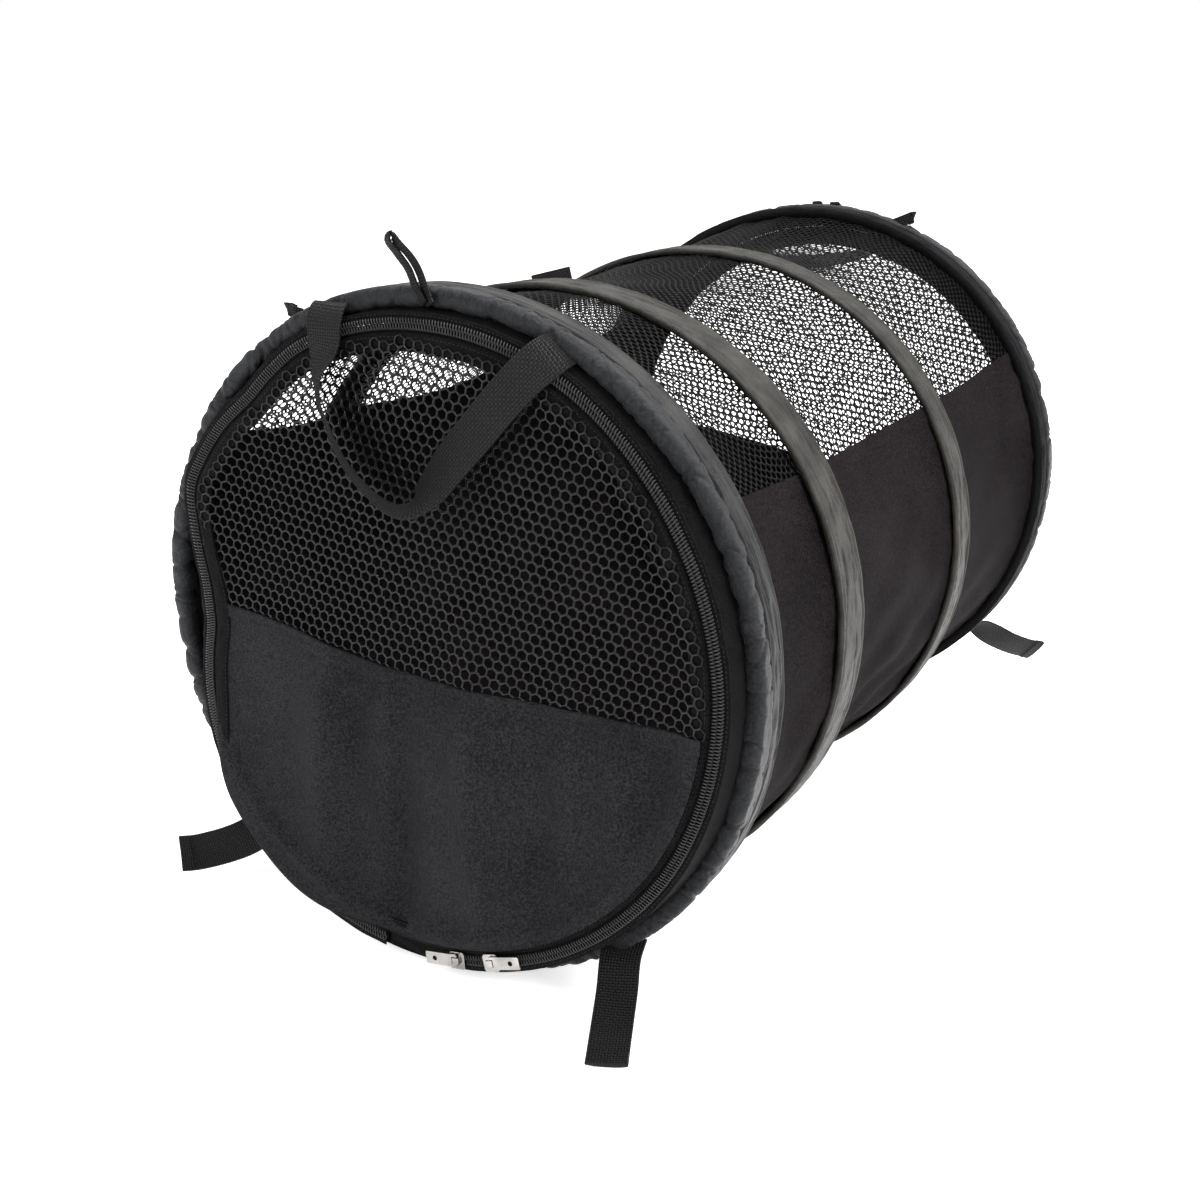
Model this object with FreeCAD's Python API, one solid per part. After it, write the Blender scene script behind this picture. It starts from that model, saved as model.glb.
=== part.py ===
import FreeCAD, Part
import math
import os

# Collapsible pet tunnel: a net and oxford-cloth tube on four spring-wire hoops, with a zipped
# door, a webbing handle and two floor straps at each end.
# Millimetres. +Z up, the tube runs along Y, front end towards -Y.
# Origin: on the floor, under the middle of the tube's length.

V = FreeCAD.Vector
X_AXIS, Y_AXIS, Z_AXIS = V(1, 0, 0), V(0, 1, 0), V(0, 0, 1)
ORIGIN = V(0, 0, 0)

# hoops: circles flattened where they stand on the floor
RING_Z = 207.0
RIM_RADIUS = 215.0
HOOP_RADIUS = 211.0
BAY_RADIUS = 206.0
BAY_BOTTOM = 5.0
FOOT_CORNER_RADIUS = 60.0

# places along the tube
RIM_Y = 295.0
ROLL_WIDTH = 13.8
RIM_TAPE_WIDTH = 16.0
HOOP_2_Y, HOOP_2_WIDTH = -149.0, 36.0
HOOP_3_Y, HOOP_3_WIDTH = 70.0, 28.0

# sections
WIRE_DIAMETER = 3.0
CHANNEL_SIZE = 3.4
BINDING_SKIN = 1.2
ROLL_DEPTH = 12.0
RIM_TAPE_INSET, RIM_TAPE_DEPTH = 0.5, 8.2
HOOP_BINDING_DEPTH = 4.7
FABRIC = 1.5
NET_HALF_ANGLE = 60.0
GAP = 0.3

# door, laid out flat about the zip's centre and then leaned back
DOOR_TILT = 3.6
DOOR_Y = -310.0
ZIP_RADIUS = 194.0
COIL_WIDTH, COIL_FRONT, COIL_BACK = 2.25, -2.0, -0.05
COIL_GAP = 0.15
TAPE_GAP, TAPE_WIDTH, TAPE_THICKNESS = 0.6, 6.4, 0.8
BORDER_INNER, BORDER_OUTER = 177.0, 188.5
PANEL_RADIUS = 179.5
DOOR_SEAM_Z, DOOR_SEAM_SAG = -6.0, 8.0
HINGE_HALF_ANGLE = 8.0
HINGE_BACK, HINGE_THICKNESS = 1.2, 1.0

# end panel, from inside the rim to the back of the zip tape
PANEL_RIM_INSET, PANEL_RIM_Y = 14.0, -288.0
PANEL_ZIP_RADIUS, PANEL_ZIP_BACK = 201.3, 1.0

# zip sliders
MAIN_SLIDER_ANGLE, PARKED_SLIDER_ANGLE = 164.0, 171.5
SLIDER_INNER, SLIDER_OUTER, SLIDER_LENGTH = 188.9, 200.0, 11.0
SLIDER_FRONT, SLIDER_BACK, SLIDER_LIP_WIDTH = -3.8, -2.3, 2.0
SLIDER_ROUNDING, CROWN_ROUNDING = 2.0, 1.1
SLIDER_LIP_LENGTH, SLIDER_LIP_DEPTH = 6.0, 2.0
CROWN_FRONT, CROWN_LENGTH, CROWN_WIDTH = -6.5, 4.6, 4.0
PIVOT_Y, PIVOT_RADIUS, PIVOT_CLEARANCE = -5.1, 0.7, 0.05
PULL_LENGTH, PULL_WIDTH, PULL_THICKNESS = 23.0, 8.0, 1.0
PULL_EYE, PULL_EYE_WIDTH, PULL_EYE_START = 5.5, 4.8, -2.7
PULL_HOLE_RADIUS, PULL_HOLE_FROM_TIP = 1.6, 6.5

# webbing
WEBBING_WIDTH, WEBBING = 25.0, 2.0
HANDLE_RADIUS, HANDLE_BEND = 210.5, 16.0
HANDLE_FRONT_Y, HANDLE_BACK_Y = -337.0, -312.0
# each handle: angle of its ends from the top, and height of the corner of its V
FRONT_HANDLE = 24.0, 286.0
REAR_HANDLE = 33.0, 364.0
ANCHOR_HEIGHT, ANCHOR_THICKNESS = 9.0, 1.4
LOOP_WIDTH, LOOP_THICKNESS, LOOP_BEND = 9.0, 1.0, 1.5
# each loop of tape at the rim's top: length, rise above level, root behind the rim's face and above its top
FRONT_LOOP = 46.0, 50.0, 6.0, 2.2
REAR_LOOP = 34.0, -65.0, -2.2, -1.0
TAB_HEIGHT, TAB_BASE, TAB_TIP, TAB_THICKNESS = 10.0, 10.0, 2.0, 1.6
STRAP_BEND, STRAP_BEND_AT = 30.0, 0.4
# each floor strap: sewn root, free tip and how far it sags between them
STRAPS = {
    "front_left_strap": (V(-150, -283, 48), V(-212, -308, 20), 4.0),
    "front_right_strap": (V(139, -300, 32), V(147, -360, 1.2), 2.0),
    "rear_right_strap": (V(150, 297, 54), V(201, 350, 31), 4.0),
    "rear_left_strap": (V(-150, 297, 54), V(-201, 350, 31), 4.0),
}
# each side tab: its hoop's radius, its angle from the top and its place along the tube
SIDE_TABS = {
    "front_side_tab": (RIM_RADIUS, -29.0, -RIM_Y + 10),
    "hoop_3_side_tab": (HOOP_RADIUS, -37.0, HOOP_3_Y),
    "rear_side_tab": (RIM_RADIUS, 22.0, RIM_Y - 10),
}


def point(x, z, y=0.0):
    """A point of an outline drawn in the XZ plane at y."""
    return V(x, y, z)


def polar(radius, degrees, y=0.0):
    """A point at an angle from the top of a circle about the origin, clockwise seen from the front."""
    turn = math.radians(degrees)
    return V(radius * math.sin(turn), y, radius * math.cos(turn))


def line(a, b):
    return Part.LineSegment(a, b).toShape()


def arc(a, middle, b):
    return Part.Arc(a, middle, b).toShape()


def prism(wires, y0, y1):
    """The face that the wires bound, extruded along Y from y0 to y1."""
    face = Part.makeFace(wires, "Part::FaceMakerBullseye")
    solid = face.extrude(V(0, y1 - y0, 0))
    solid.translate(V(0, y0, 0))
    return solid


def hoop_corners(radius, bottom, inset):
    """A flattened hoop's right-hand corner: angle from +X, centre, and both radii less the inset."""
    rise = RING_Z - bottom - FOOT_CORNER_RADIUS
    reach = math.sqrt((radius - FOOT_CORNER_RADIUS) ** 2 - rise**2)
    centre = V(reach, 0, bottom + FOOT_CORNER_RADIUS)
    turn = math.atan2(-rise, reach)
    return turn, centre, radius - inset, FOOT_CORNER_RADIUS - inset


def hoop_wire(radius, bottom, inset, y=0.0):
    """Outline of a flattened hoop, moved inwards by inset: a big arc, two corners and a flat foot."""
    turn, centre, big, small = hoop_corners(radius, bottom, inset)
    half = (turn - math.pi / 2) / 2
    side = V(big * math.cos(turn), y, RING_Z + big * math.sin(turn))
    corner = V(centre.x + small * math.cos(half), y, centre.z + small * math.sin(half))
    foot = V(centre.x, y, bottom + inset)
    top = V(0, y, RING_Z + big)

    def other(p):
        return V(-p.x, p.y, p.z)

    return Part.Wire(
        [
            arc(side, top, other(side)),
            arc(other(side), other(corner), other(foot)),
            line(other(foot), foot),
            arc(foot, corner, side),
        ]
    )


def hoop_ring(radius, bottom, outer_inset, inner_inset, y0, y1):
    """A band that follows a flattened hoop, between two insets."""
    outer = hoop_wire(radius, bottom, outer_inset)
    inner = hoop_wire(radius, bottom, inner_inset)
    return prism([outer, inner], y0, y1)


def spring_wire(radius, bottom, inset, y):
    """A round wire bent into a flattened hoop."""
    path = hoop_wire(radius, bottom, inset, y)
    section = Part.Wire(Part.Circle(V(0, y, RING_Z + radius - inset), X_AXIS, WIRE_DIAMETER / 2).toShape())
    return path.makePipeShell([section], True, False)


def binding(radius, outer_inset, depth, middle_y, width):
    """A folded tape round a hoop, with the wire's channel open on its inner side."""
    inner_inset = outer_inset + depth
    band = hoop_ring(radius, 0, outer_inset, inner_inset, middle_y - width / 2, middle_y + width / 2)
    channel_inset = inner_inset - CHANNEL_SIZE
    half = CHANNEL_SIZE / 2
    channel = hoop_ring(radius, 0, channel_inset, inner_inset + 1, middle_y - half, middle_y + half)
    return band.cut(channel)


def wire_inset(outer_inset, depth):
    return outer_inset + depth - CHANNEL_SIZE / 2 - GAP / 3


def bay(y0, y1):
    """One bay of the tube, split into its net top and its oxford-cloth lower part."""
    ring = hoop_ring(BAY_RADIUS, BAY_BOTTOM, 0, FABRIC, y0, y1)
    reach = 2 * BAY_RADIUS
    corners = [
        point(0, RING_Z),
        polar(reach, NET_HALF_ANGLE) + V(0, 0, RING_Z),
        point(0, RING_Z + 2 * reach),
        polar(reach, -NET_HALF_ANGLE) + V(0, 0, RING_Z),
        point(0, RING_Z),
    ]
    wedge = prism([Part.makePolygon(corners)], y0 - 1, y1 + 1)
    return ring.common(wedge), ring.cut(wedge)


def sector_ring(inner, outer, start, end, y0, y1):
    """A flat sector of a ring about the origin, between two angles from the top."""
    middle = (start + end) / 2
    edges = [
        arc(polar(outer, start), polar(outer, middle), polar(outer, end)),
        line(polar(outer, end), polar(inner, end)),
        arc(polar(inner, end), polar(inner, middle), polar(inner, start)),
        line(polar(inner, start), polar(outer, start)),
    ]
    return prism([Part.Wire(edges)], y0, y1)


def zip_ring(inner, outer, y0, y1):
    """A flat ring along the zip, broken at the bottom where the door is hinged."""
    end = 180 - HINGE_HALF_ANGLE
    return sector_ring(inner, outer, -end, end, y0, y1)


def flat_ring(inner, outer, y0, y1):
    circles = [Part.Wire(Part.Circle(ORIGIN, Y_AXIS, r).toShape()) for r in (outer, inner)]
    return prism(circles, y0, y1)


def placed_on_door(shape):
    """Moves a shape from the door's own flat layout to its place, leaned back."""
    moved = shape.copy()
    moved.rotate(ORIGIN, X_AXIS, -DOOR_TILT)
    moved.translate(V(0, DOOR_Y, RING_Z))
    return moved


def door_halves():
    """The door's net window and cloth panel, parted by a slightly sagging seam."""
    disc = prism([Part.Wire(Part.Circle(ORIGIN, Y_AXIS, PANEL_RADIUS).toShape())], 0.1, 0.1 + FABRIC)
    reach = 2 * PANEL_RADIUS
    left, right = point(-reach, DOOR_SEAM_Z), point(reach, DOOR_SEAM_Z)
    seam = arc(left, point(0, DOOR_SEAM_Z - DOOR_SEAM_SAG), right)
    top_right, top_left = point(reach, reach), point(-reach, reach)
    edges = [seam, line(right, top_right), line(top_right, top_left), line(top_left, left)]
    upper = prism([Part.Wire(edges)], -1, 3)
    return disc.common(upper), disc.cut(upper)


def panel_skin(inset, zip_radius):
    """Ruled solid from the rim's inside to the zip's circle."""
    turn, corner_centre = hoop_corners(RIM_RADIUS, 0, inset)[:2]
    rim = hoop_wire(RIM_RADIUS, 0, inset, PANEL_RIM_Y)
    side = 90 - math.degrees(turn)
    foot = 180 - math.degrees(math.asin(corner_centre.x / zip_radius))
    corner = (side + foot) / 2
    y = PANEL_ZIP_BACK
    circle = Part.Wire(
        [
            arc(polar(zip_radius, side, y), polar(zip_radius, 0, y), polar(zip_radius, -side, y)),
            arc(polar(zip_radius, -side, y), polar(zip_radius, -corner, y), polar(zip_radius, -foot, y)),
            arc(polar(zip_radius, -foot, y), polar(zip_radius, 180, y), polar(zip_radius, foot, y)),
            arc(polar(zip_radius, foot, y), polar(zip_radius, corner, y), polar(zip_radius, side, y)),
        ]
    )
    return Part.makeLoft([rim, placed_on_door(circle)], True, True)


def end_panel():
    outer = panel_skin(PANEL_RIM_INSET, PANEL_ZIP_RADIUS)
    inner = panel_skin(PANEL_RIM_INSET + FABRIC, PANEL_ZIP_RADIUS - FABRIC)
    return outer.cut(inner)


def slider_body():
    """Zip slider at the top of the zip: a plate over both coils, a lip and a crown with a pivot hole."""
    half = SLIDER_LENGTH / 2
    plate = Part.makeBox(SLIDER_LENGTH, SLIDER_BACK - SLIDER_FRONT, SLIDER_OUTER - SLIDER_INNER)
    plate.translate(V(-half, SLIDER_FRONT, SLIDER_INNER))
    plate = plate.makeFillet(SLIDER_ROUNDING, [e for e in plate.Edges if is_along(e, Y_AXIS)])
    lip = Part.makeBox(SLIDER_LIP_LENGTH, SLIDER_LIP_DEPTH, SLIDER_LIP_WIDTH)
    lip.translate(V(-SLIDER_LIP_LENGTH / 2, SLIDER_BACK, SLIDER_INNER))
    crown = Part.makeBox(CROWN_LENGTH, SLIDER_FRONT - CROWN_FRONT, CROWN_WIDTH)
    crown.translate(V(-CROWN_LENGTH / 2, CROWN_FRONT, ZIP_RADIUS - CROWN_WIDTH / 2))
    front_edges = [e for e in crown.Edges if is_along(e, Z_AXIS) and e.CenterOfMass.y < PIVOT_Y]
    crown = crown.makeFillet(CROWN_ROUNDING, front_edges)
    hole = pivot(PIVOT_RADIUS + PIVOT_CLEARANCE, CROWN_WIDTH + 2)
    return plate.fuse([lip, crown]).removeSplitter().cut(hole)


def pivot(radius, length):
    return Part.makeCylinder(radius, length, V(0, PIVOT_Y, ZIP_RADIUS - length / 2), Z_AXIS)


def is_along(edge, direction):
    return isinstance(edge.Curve, Part.Line) and abs(edge.Curve.Direction.dot(direction)) > 0.999


def pull_tab(side):
    """Pull tab on a slider at the top of the zip, lying to one side (+1 right, -1 left)."""
    y0 = PIVOT_Y - PULL_THICKNESS / 2
    tab = Part.makeBox(PULL_LENGTH, PULL_THICKNESS, PULL_WIDTH)
    tab.translate(V(-PULL_THICKNESS, y0, ZIP_RADIUS - PULL_WIDTH / 2))
    tab = tab.makeFillet(CROWN_ROUNDING, [e for e in tab.Edges if is_along(e, Y_AXIS)])
    eye = Part.makeBox(PULL_EYE, 3 * PULL_THICKNESS, PULL_EYE_WIDTH)
    eye.translate(V(PULL_EYE_START, y0 - PULL_THICKNESS, ZIP_RADIUS - PULL_EYE_WIDTH / 2))
    hole_at = V(PULL_LENGTH - PULL_THICKNESS - PULL_HOLE_FROM_TIP, y0 - 1, ZIP_RADIUS)
    hole = Part.makeCylinder(PULL_HOLE_RADIUS, 3, hole_at, Y_AXIS)
    pin = pivot(PIVOT_RADIUS, PULL_EYE_WIDTH + 2 * GAP)
    tab = tab.cut(eye).cut(hole).fuse(pin).removeSplitter()
    return tab.mirror(ORIGIN, X_AXIS) if side < 0 else tab


def at_zip_angle(shape, degrees):
    """Turns a shape from the top of the zip to another angle and puts it on the door."""
    moved = shape.copy()
    moved.rotate(ORIGIN, Y_AXIS, degrees)
    return placed_on_door(moved)


def strip(points, radius, thickness, width):
    """A strip of webbing, seen edge-on in the XZ plane along points, centred on the plane y = 0."""
    sides = []
    for offset in (thickness / 2, -thickness / 2):
        edges, last = [], None
        for i, p in enumerate(points):
            if i in (0, len(points) - 1):
                q = points[1] if i == 0 else points[i - 1]
                along = (q - p if i == 0 else p - q).normalize()
                here = p + left_of(along) * offset
                if last is not None:
                    edges.append(line(last, here))
                last = here
                continue
            come, go = (p - points[i - 1]).normalize(), (points[i + 1] - p).normalize()
            turn = math.atan2(left_of(come).dot(go), come.dot(go))
            back = radius * math.tan(abs(turn) / 2)
            side = 1 if turn > 0 else -1
            centre = p - come * back + left_of(come) * radius * side
            r = radius - offset * side
            first = centre - left_of(come) * r * side
            then = centre - left_of(go) * r * side
            middle = centre - (left_of(come) + left_of(go)).normalize() * r * side
            edges += [line(last, first), arc(first, middle, then)]
            last = then
        sides.append(edges)
    one, other = sides
    ends = [
        line(one[0].Vertexes[0].Point, other[0].Vertexes[0].Point),
        line(one[-1].Vertexes[-1].Point, other[-1].Vertexes[-1].Point),
    ]
    wire = Part.Wire(Part.__sortEdges__(one + other + ends))
    return prism([wire], -width / 2, width / 2)


def left_of(direction):
    return V(-direction.z, 0, direction.x)


def handle(angle, low_z):
    """A webbing loop that hangs in a V in front of the door, with its ends turned back to the rim."""
    top = polar(HANDLE_RADIUS, angle) + V(0, 0, RING_Z)
    points = [point(-top.x, top.z), point(0, low_z), point(top.x, top.z)]
    width = HANDLE_BACK_Y - HANDLE_FRONT_Y
    loop = strip(points, HANDLE_BEND, WEBBING, width)
    loop.translate(V(0, HANDLE_FRONT_Y + width / 2, 0))
    root_y = -RIM_Y - ANCHOR_THICKNESS - GAP
    ends = []
    for side in (-1, 1):
        end = Part.makeBox(WEBBING_WIDTH, root_y - HANDLE_FRONT_Y, WEBBING)
        end.translate(V(side * top.x - WEBBING_WIDTH / 2, HANDLE_FRONT_Y, top.z - WEBBING))
        ends.append(end)
    return loop.fuse(ends).removeSplitter()


def handle_anchors(angle):
    """The two sewn patches that hold the handle's ends on the rim."""
    patches = []
    for side in (-1, 1):
        patch = Part.makeBox(WEBBING_WIDTH, ANCHOR_THICKNESS, ANCHOR_HEIGHT)
        patch.translate(V(-WEBBING_WIDTH / 2, -RIM_Y - ANCHOR_THICKNESS, HANDLE_RADIUS - ANCHOR_HEIGHT / 2))
        patch.rotate(ORIGIN, Y_AXIS, side * angle)
        patch.translate(V(0, 0, RING_Z))
        patches.append(patch)
    return Part.makeCompound(patches)


def top_loop(length, lean, inset, above):
    """A narrow loop of tape at the top of the rim, pointing outwards at an angle above level."""
    under = [point(0, -LOOP_BEND), point(length, -LOOP_BEND)]
    over = [point(length, LOOP_BEND), point(0, LOOP_BEND)]
    loop = strip(under + over, LOOP_BEND - 0.05, LOOP_THICKNESS, LOOP_WIDTH)
    loop.rotate(ORIGIN, Y_AXIS, -lean)
    loop.rotate(ORIGIN, Z_AXIS, -90)
    loop.translate(V(0, -RIM_Y + inset, RING_Z + RIM_RADIUS + above))
    return loop


def side_tab(radius, angle, y):
    """A small folded corner of tape standing out of a hoop."""
    tip = point(TAB_TIP, radius + TAB_HEIGHT)
    corners = [point(-TAB_BASE / 2, radius), point(TAB_BASE / 2, radius), tip]
    tab = prism([Part.makePolygon(corners + corners[:1])], y - TAB_THICKNESS / 2, y + TAB_THICKNESS / 2)
    tab.rotate(ORIGIN, Y_AXIS, angle)
    tab.translate(V(0, 0, RING_Z))
    return tab


def strap(root, tip, sag):
    """A strip of webbing from its sewn root to its free tip, level across its width."""
    flat = V(tip.x - root.x, tip.y - root.y, 0)
    run = flat.Length
    drop = tip.z - root.z
    bend = point(run * STRAP_BEND_AT, drop * STRAP_BEND_AT - sag)
    points = [point(0, 0), bend, point(run, drop)]
    made = strip(points, STRAP_BEND, WEBBING, WEBBING_WIDTH)
    made.rotate(ORIGIN, Z_AXIS, math.degrees(math.atan2(flat.y, flat.x)))
    made.translate(root)
    return made


def end_pieces(handle_angle, handle_low_z, loop):
    """Every piece of one end, by name, laid out as the front end."""
    tape_y = -RIM_Y + ROLL_WIDTH + 0.2 + RIM_TAPE_WIDTH / 2
    main, parked = slider_body(), slider_body()
    window, panel = door_halves()
    inner_coil = zip_ring(ZIP_RADIUS - COIL_GAP - COIL_WIDTH, ZIP_RADIUS - COIL_GAP, COIL_FRONT, COIL_BACK)
    outer_coil = zip_ring(ZIP_RADIUS + COIL_GAP, ZIP_RADIUS + COIL_GAP + COIL_WIDTH, COIL_FRONT, COIL_BACK)
    inner_tape = zip_ring(ZIP_RADIUS - TAPE_GAP - TAPE_WIDTH, ZIP_RADIUS - TAPE_GAP, 0, TAPE_THICKNESS)
    outer_tape = zip_ring(ZIP_RADIUS + TAPE_GAP, ZIP_RADIUS + TAPE_GAP + TAPE_WIDTH, 0, TAPE_THICKNESS)
    hinge = sector_ring(
        BORDER_OUTER - 4,
        PANEL_ZIP_RADIUS - 2.5,
        180 - HINGE_HALF_ANGLE + 0.5,
        180 + HINGE_HALF_ANGLE - 0.5,
        HINGE_BACK,
        HINGE_BACK + HINGE_THICKNESS,
    )
    wire_at = wire_inset(RIM_TAPE_INSET, RIM_TAPE_DEPTH)
    return {
        "hoop_wire": spring_wire(RIM_RADIUS, 0, wire_at, tape_y),
        "rim_tape": binding(RIM_RADIUS, RIM_TAPE_INSET, RIM_TAPE_DEPTH, tape_y, RIM_TAPE_WIDTH),
        "rim_roll": hoop_ring(RIM_RADIUS, 0, 0, ROLL_DEPTH, -RIM_Y, -RIM_Y + ROLL_WIDTH),
        "end_panel": end_panel(),
        "zip_outer_tape": placed_on_door(outer_tape),
        "zip_outer_coil": placed_on_door(outer_coil),
        "door_hinge_tape": placed_on_door(hinge),
        "handle_anchors": handle_anchors(handle_angle),
        "top_loop": top_loop(*loop),
        "handle": handle(handle_angle, handle_low_z),
        "door_window": placed_on_door(window),
        "door_panel": placed_on_door(panel),
        "door_border": placed_on_door(flat_ring(BORDER_INNER, BORDER_OUTER, -1.0, -0.1)),
        "zip_inner_tape": placed_on_door(inner_tape),
        "zip_inner_coil": placed_on_door(inner_coil),
        "zip_slider": at_zip_angle(main, MAIN_SLIDER_ANGLE),
        "zip_pull": at_zip_angle(pull_tab(-1), MAIN_SLIDER_ANGLE),
        "parked_slider": at_zip_angle(parked, PARKED_SLIDER_ANGLE),
        "parked_pull": at_zip_angle(pull_tab(1), PARKED_SLIDER_ANGLE),
    }


def all_parts():
    parts = {}
    for name, shape in end_pieces(*FRONT_HANDLE, FRONT_LOOP).items():
        parts["front_" + name] = shape
    for name, shape in end_pieces(*REAR_HANDLE, REAR_LOOP).items():
        parts["rear_" + name] = shape.mirror(ORIGIN, Y_AXIS)
    hoop_at = wire_inset(0, HOOP_BINDING_DEPTH)
    for number, y, width in ((2, HOOP_2_Y, HOOP_2_WIDTH), (3, HOOP_3_Y, HOOP_3_WIDTH)):
        parts[f"hoop_{number}_wire"] = spring_wire(HOOP_RADIUS, 0, hoop_at, y)
        parts[f"hoop_{number}_binding"] = binding(HOOP_RADIUS, 0, HOOP_BINDING_DEPTH, y, width)
    tape_edge = RIM_Y - ROLL_WIDTH - RIM_TAPE_WIDTH - 0.2 - GAP
    ends = (-tape_edge, HOOP_2_Y, HOOP_3_Y, tape_edge)
    for number in (1, 2, 3):
        net, cloth = bay(ends[number - 1] + GAP, ends[number] - GAP)
        parts[f"bay_{number}_net"] = net
        parts[f"bay_{number}_cloth"] = cloth
    for name, tab in SIDE_TABS.items():
        parts[name] = side_tab(*tab)
    for name, tail in STRAPS.items():
        parts[name] = strap(*tail)
    return parts


os.makedirs("parts", exist_ok=True)
for name, shape in all_parts().items():
    box = shape.optimalBoundingBox()
    print(
        f"{name}: {len(shape.Solids)} solids, valid {shape.isValid()}, {shape.Volume:.0f} mm3, "
        f"x {box.XMin:.1f} {box.XMax:.1f}, y {box.YMin:.1f} {box.YMax:.1f}, z {box.ZMin:.1f} {box.ZMax:.1f}"
    )
    shape.exportStep(f"parts/{name}.step")
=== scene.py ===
import math

import bpy
import numpy as np
from mathutils import Matrix, Vector


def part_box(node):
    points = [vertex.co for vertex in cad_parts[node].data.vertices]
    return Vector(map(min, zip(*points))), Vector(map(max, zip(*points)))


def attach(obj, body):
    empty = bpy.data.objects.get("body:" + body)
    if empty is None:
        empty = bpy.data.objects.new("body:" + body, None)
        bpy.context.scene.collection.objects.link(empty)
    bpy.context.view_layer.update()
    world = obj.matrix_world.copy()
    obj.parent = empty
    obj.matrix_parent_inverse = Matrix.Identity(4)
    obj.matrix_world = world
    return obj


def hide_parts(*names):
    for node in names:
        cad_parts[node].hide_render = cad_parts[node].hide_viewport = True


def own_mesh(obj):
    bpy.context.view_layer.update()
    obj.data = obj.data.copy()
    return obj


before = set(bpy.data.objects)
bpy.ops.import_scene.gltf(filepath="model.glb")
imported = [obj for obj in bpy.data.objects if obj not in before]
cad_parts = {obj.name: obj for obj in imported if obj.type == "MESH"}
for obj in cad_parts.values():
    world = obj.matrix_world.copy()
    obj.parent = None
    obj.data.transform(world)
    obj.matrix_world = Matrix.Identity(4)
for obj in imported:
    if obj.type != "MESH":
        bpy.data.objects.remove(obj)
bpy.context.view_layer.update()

# Sizes are in metres. x is to the right, y along the tube from front to rear, z up.
MM = 0.001
FRONT, REAR = -1, 1
ENDS = {FRONT: "front", REAR: "rear"}
RIM_BINDING = {FRONT: "rim_grey", REAR: "oxford"}

RIM_R = 215 * MM
RING_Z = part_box("front_rim_roll")[1][2] - RIM_R
HOOP_R = 211 * MM
HOOPS = {}
for number in (2, 3):
    low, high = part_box(f"hoop_{number}_binding")
    HOOPS[number] = ((low[1] + high[1]) / 2, high[1] - low[1])

DOOR_TILT = math.radians(3.6)
DOOR_Y = 310 * MM
ZIP_R = 194 * MM

CAMERA_PLACE = (0.538, -1.046, 0.548)
CAMERA_YAW, CAMERA_PITCH = math.radians(-29.53), math.radians(18.75)
LENS = 48.76
# each softbox: place, size and watts
SOFTBOXES = {
    "softbox_top": ((0.4, 0.3, 2.2), (1.3, 1.3), 115),
    "softbox_right": ((2.2, -0.3, 1.6), (0.9, 1.3), 80),
    "softbox_front": ((-1.4, -2.2, 1.5), (1.1, 1.1), 40),
}
FLOOR_GLOW = 0.62


# ---------------------------------------------------------------- camera, light and floor

def placed(place, look):
    """The matrix that puts a camera or lamp at a place, looking along a direction."""
    turn = Vector(look).to_track_quat("-Z", "Y").to_matrix().to_4x4()
    return Matrix.Translation(Vector(place)) @ turn


def make_camera():
    data = bpy.data.cameras.new("camera")
    data.lens = LENS
    data.sensor_width = 36.0
    data.clip_start, data.clip_end = 0.05, 60
    cam = bpy.data.objects.new("camera", data)
    bpy.context.collection.objects.link(cam)
    level = math.cos(CAMERA_PITCH)
    look = (math.sin(CAMERA_YAW) * level, math.cos(CAMERA_YAW) * level, -math.sin(CAMERA_PITCH))
    cam.matrix_world = placed(CAMERA_PLACE, look)
    bpy.context.scene.camera = cam


def area_light(name, place, target, size, watts):
    data = bpy.data.lights.new(name, "AREA")
    data.shape = "RECTANGLE"
    data.size, data.size_y = size
    data.energy = watts
    lamp = bpy.data.objects.new(name, data)
    bpy.context.collection.objects.link(lamp)
    lamp.matrix_world = placed(place, Vector(target) - Vector(place))


def make_studio():
    world = bpy.data.worlds.new("studio")
    world.use_nodes = True
    world.node_tree.nodes["Background"].inputs["Color"].default_value = (1, 1, 1, 1)
    world.node_tree.nodes["Background"].inputs["Strength"].default_value = 1.0
    scene = bpy.context.scene
    scene.world = world
    scene.view_settings.view_transform = "Standard"
    middle = (0, 0, 0.2)
    for name, (place, size, watts) in SOFTBOXES.items():
        area_light(name, place, middle, size, watts)
    floor = bpy.data.meshes.new("floor")
    far = 25.0
    corners = [(-far, -far, 0), (far, -far, 0), (far, far, 0), (-far, far, 0)]
    floor.from_pydata(corners, [], [(0, 1, 2, 3)])
    plane = bpy.data.objects.new("floor", floor)
    bpy.context.collection.objects.link(plane)
    material = bpy.data.materials.new("floor_white")
    material.use_nodes = True
    shader = material.node_tree.nodes["Principled BSDF"]
    shader.inputs["Base Color"].default_value = (0.8, 0.8, 0.8, 1)
    shader.inputs["Roughness"].default_value = 0.9
    shader.inputs["Specular IOR Level"].default_value = 0.1
    shader.inputs["Emission Color"].default_value = (1, 1, 1, 1)
    shader.inputs["Emission Strength"].default_value = FLOOR_GLOW
    floor.materials.append(material)


# ---------------------------------------------------------------- materials

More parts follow.
